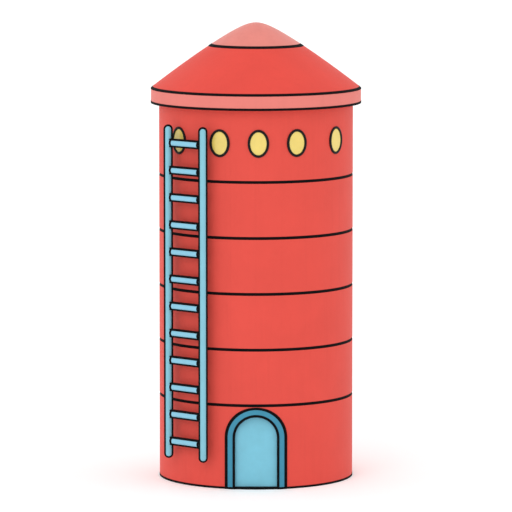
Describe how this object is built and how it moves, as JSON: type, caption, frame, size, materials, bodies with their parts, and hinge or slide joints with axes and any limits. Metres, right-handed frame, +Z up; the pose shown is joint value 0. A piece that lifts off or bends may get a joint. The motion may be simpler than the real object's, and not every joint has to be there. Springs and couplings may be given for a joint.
{
  "type": "storage silo",
  "caption": "Round storage silo of stacked wall courses with a conical roof and cap, a ring of oval windows, an outside ladder and an arched door that swings inward.",
  "frame": {"origin": "middle of the silo's underside, on the ground", "axes": "+Z up the tower's axis, the door facing -Y, +X to the right of the door as seen from outside"},
  "size_m": [5.676, 5.676, 12.295],
  "materials": {
    "wall": "matte masonry paint over cast concrete",
    "roof": "matte masonry paint over cast concrete",
    "beam": "matte masonry paint over cast concrete",
    "floor": "bare trowelled concrete",
    "cap": "satin paint",
    "ladder": "satin paint",
    "door": "satin paint",
    "door_frame": "satin paint",
    "sill": "dark sealed concrete",
    "glazing": "opaque tinted glass in a dark frame"
  },
  "bodies": {
    "root": {"door_frame": "door_frame", "door_pintle_lower": "door_frame", "door_pintle_upper": "door_frame", "door_sill": "sill", "floor_slab": "floor", "ladder_bracket_1": "ladder", "ladder_bracket_2": "ladder", "ladder_bracket_3": "ladder", "ladder_bracket_4": "ladder", "ladder_rail_left": "ladder", "ladder_rail_right": "ladder", "ladder_rung_01": "ladder", "ladder_rung_02": "ladder", "ladder_rung_03": "ladder", "ladder_rung_04": "ladder", "ladder_rung_05": "ladder", "ladder_rung_06": "ladder", "ladder_rung_07": "ladder", "ladder_rung_08": "ladder", "ladder_rung_09": "ladder", "ladder_rung_10": "ladder", "ladder_rung_11": "ladder", "ladder_rung_12": "ladder", "ring_beam": "beam", "roof_cap": "cap", "roof_cone": "roof", "wall_course_1_head": "wall", "wall_course_1_left": "wall", "wall_course_1_right": "wall", "wall_course_2": "wall", "wall_course_3": "wall", "wall_course_4": "wall", "wall_course_5": "wall", "wall_course_6": "wall", "window_01": "glazing", "window_02": "glazing", "window_03": "glazing", "window_04": "glazing", "window_05": "glazing", "window_06": "glazing", "window_07": "glazing", "window_08": "glazing", "window_09": "glazing", "window_10": "glazing"},
    "door": {"door_leaf": "door", "door_strap_lower": "door", "door_strap_upper": "door"}
  },
  "joints": [
    {"name": "door_hinge", "type": "hinge", "parent": "root", "child": "door", "pos_m": [-0.66, -2.343, 0.75], "axis": [0, 0, 1], "range_deg": [0, 105]}
  ]
}
